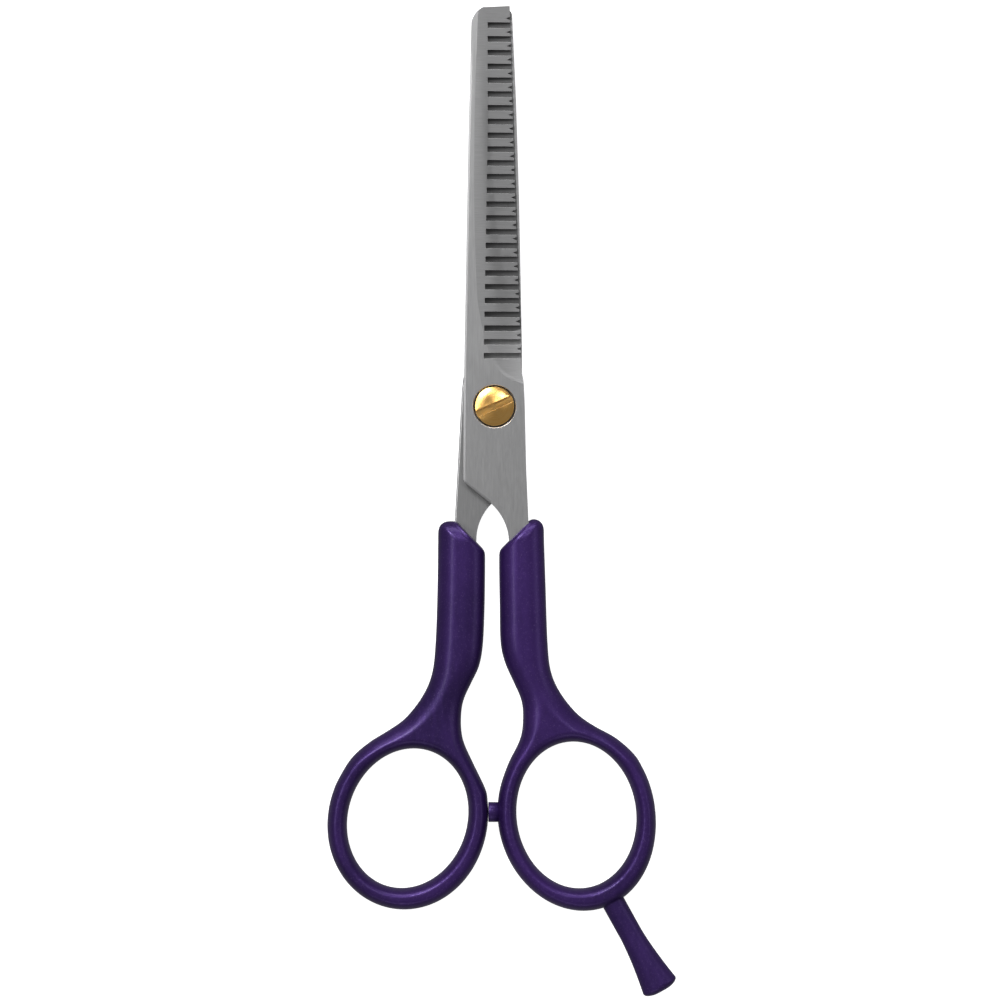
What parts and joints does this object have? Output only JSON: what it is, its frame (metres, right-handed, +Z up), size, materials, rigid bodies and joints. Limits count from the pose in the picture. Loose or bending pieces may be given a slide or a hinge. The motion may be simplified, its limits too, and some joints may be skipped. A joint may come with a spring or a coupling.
{
  "type": "hair thinning shears",
  "caption": "Slim hair-thinning shears lying closed: notched comb blade over a straight cutting blade, brass tension screw, pearly plastic ring handles, plug-in finger rest.",
  "frame": {"origin": "centre of the footprint on the surface that the closed shears lie on", "axes": "+Y along the blades towards their tips, +Z up out of the surface on the screw head's side, +X towards the finger ring's side"},
  "size_m": [0.0636, 0.1807, 0.0066],
  "materials": {
    "cutting_steel": "ground and brushed, matt",
    "thinning_steel": "brushed across the ground face, satin spine",
    "handle_plastic": "glossy purple with pearl flake",
    "rest_plastic": "glossy purple with pearl flake",
    "bumper_plastic": "satin purple",
    "screw_brass": "turned, polished",
    "washer_steel": "blackened"
  },
  "bodies": {
    "cutting_half": {"cutting_blade": "cutting_steel", "thumb_handle": "handle_plastic", "lock_nut": "screw_brass"},
    "thinning_half": {"thinning_blade": "thinning_steel", "finger_handle": "handle_plastic", "finger_rest": "rest_plastic", "bumper": "bumper_plastic"},
    "tension_screw": {"pivot_screw": "screw_brass", "spring_washer": "washer_steel"}
  },
  "joints": [
    {"name": "blade_pivot", "type": "hinge", "parent": "cutting_half", "child": "thinning_half", "pos_m": [-0.0014, 0.01725, 0.0033], "axis": [0, 0, 1], "range_deg": [0, 140]},
    {"name": "tension_turn", "type": "hinge", "parent": "cutting_half", "child": "tension_screw", "pos_m": [-0.0014, 0.01725, 0.0033], "axis": [0, 0, 1], "range_deg": [-90, 90]}
  ]
}
